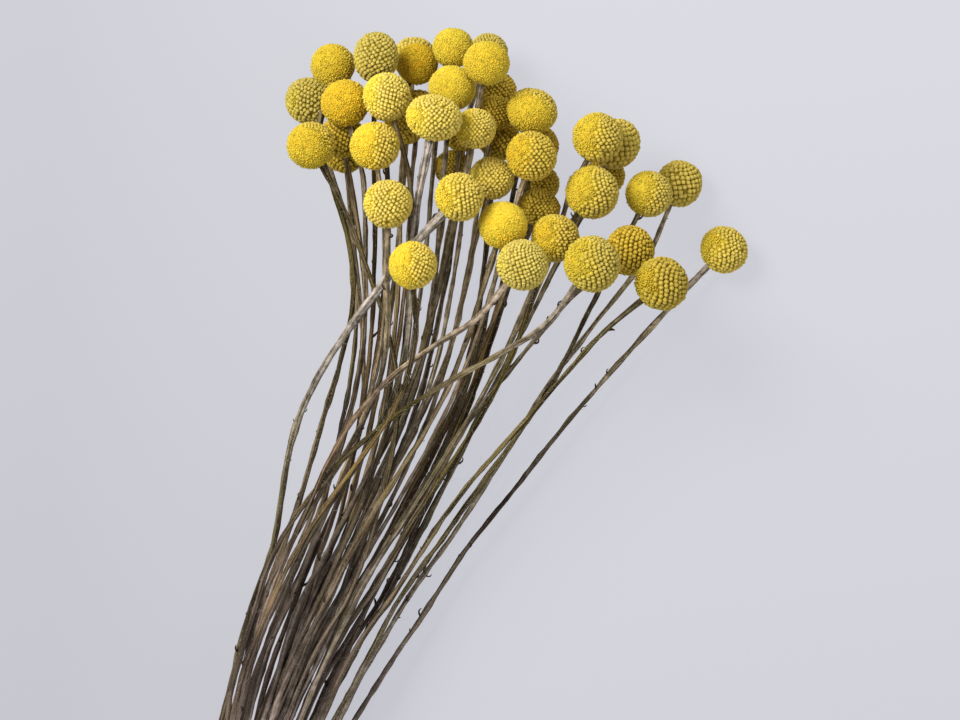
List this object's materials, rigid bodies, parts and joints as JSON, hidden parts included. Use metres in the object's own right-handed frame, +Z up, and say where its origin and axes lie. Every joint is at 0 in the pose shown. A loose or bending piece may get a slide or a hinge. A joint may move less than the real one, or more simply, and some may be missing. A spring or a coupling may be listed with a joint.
{
  "type": "bunch of dried billy buttons",
  "caption": "Tied bunch of dried globe-headed yellow flowers on long bare stems, lying on its side.",
  "frame": {"origin": "middle of the bunch's footprint, on the surface it lies on", "axes": "+Y along the bunch towards the flower heads, +Z up from the surface it lies on"},
  "size_m": [0.3092, 0.5328, 0.1251],
  "materials": {
    "florets": "dry, matte florets",
    "stems": "dry, woolly and finely grooved",
    "twine": "rough natural fibre"
  },
  "bodies": {
    "root": {"flower_head_01": "florets", "flower_head_02": "florets", "flower_head_03": "florets", "flower_head_04": "florets", "flower_head_05": "florets", "flower_head_06": "florets", "flower_head_07": "florets", "flower_head_08": "florets", "flower_head_09": "florets", "flower_head_10": "florets", "flower_head_11": "florets", "flower_head_12": "florets", "flower_head_13": "florets", "flower_head_14": "florets", "flower_head_15": "florets", "flower_head_16": "florets", "flower_head_17": "florets", "flower_head_18": "florets", "flower_head_19": "florets", "flower_head_20": "florets", "flower_head_21": "florets", "flower_head_22": "florets", "flower_head_23": "florets", "flower_head_24": "florets", "flower_head_25": "florets", "flower_head_26": "florets", "flower_head_27": "florets", "flower_head_28": "florets", "flower_head_29": "florets", "flower_head_30": "florets", "flower_head_31": "florets", "flower_head_32": "florets", "flower_head_33": "florets", "flower_head_34": "florets", "flower_head_35": "florets", "flower_head_36": "florets", "flower_head_37": "florets", "flower_head_38": "florets", "flower_head_39": "florets", "flower_head_40": "florets", "flower_head_41": "florets", "flower_head_42": "florets", "flower_head_43": "florets", "flower_head_44": "florets", "flower_head_45": "florets", "flower_head_46": "florets", "stems_01": "stems", "stems_02": "stems", "stems_03": "stems", "stems_04": "stems", "stems_05": "stems", "stems_06": "stems", "stems_07": "stems", "stems_08": "stems", "stems_09": "stems", "stems_10": "stems", "stems_11": "stems", "stems_12": "stems", "stems_13": "stems", "twine_tie": "twine"}
  },
  "joints": []
}
